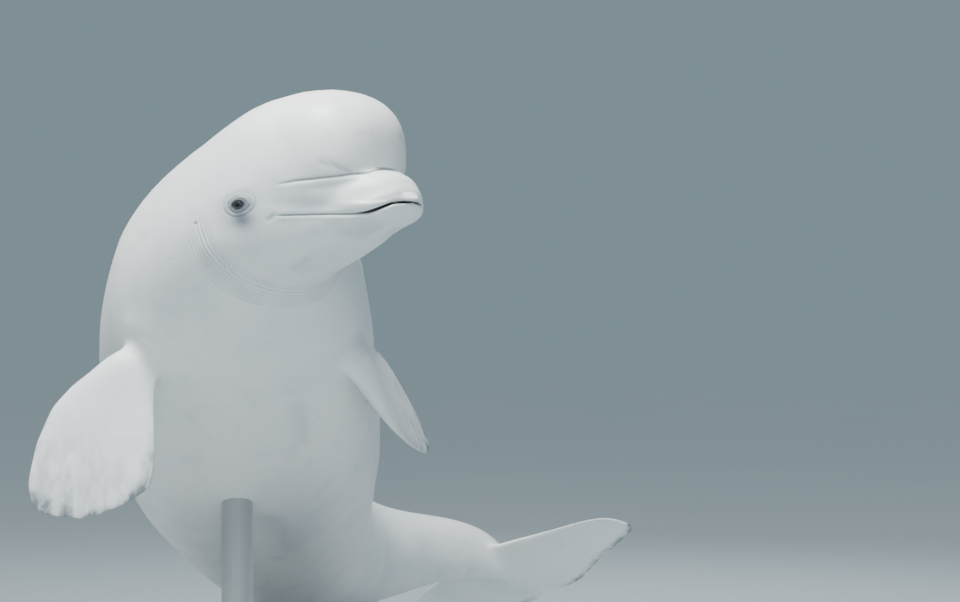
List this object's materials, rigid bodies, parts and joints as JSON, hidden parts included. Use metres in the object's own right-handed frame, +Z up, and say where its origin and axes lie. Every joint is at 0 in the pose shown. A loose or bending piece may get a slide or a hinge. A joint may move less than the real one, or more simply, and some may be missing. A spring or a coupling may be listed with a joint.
{
  "type": "beluga whale museum model",
  "caption": "Life-size white whale with a bulging melon, short beak, paddle flippers and broad tail flukes, swimming with its head turned, on a plain stand with upright rods.",
  "frame": {"origin": "on the floor, under the middle of the whole model", "axes": "+Z up; +Y from the snout towards the tail; +X towards the side the head and the flukes are turned to, which is the whale's left"},
  "size_m": [1.917, 3.5092, 1.8887],
  "materials": {
    "skin": "smooth satin skin",
    "eye": "wet gloss",
    "stand_base": "dark satin lacquer",
    "stand_rod": "brushed"
  },
  "bodies": {
    "root": {"head": "skin", "neck": "skin", "chest": "skin", "belly": "skin", "tail_stock": "skin", "fluke_left": "skin", "fluke_right": "skin", "flipper_left": "skin", "flipper_right": "skin", "eye_left": "eye", "eye_right": "eye", "stand_base": "stand_base", "stand_foot_front": "stand_rod", "stand_foot_rear": "stand_rod", "stand_rod_front": "stand_rod", "stand_rod_rear": "stand_rod"}
  },
  "joints": []
}
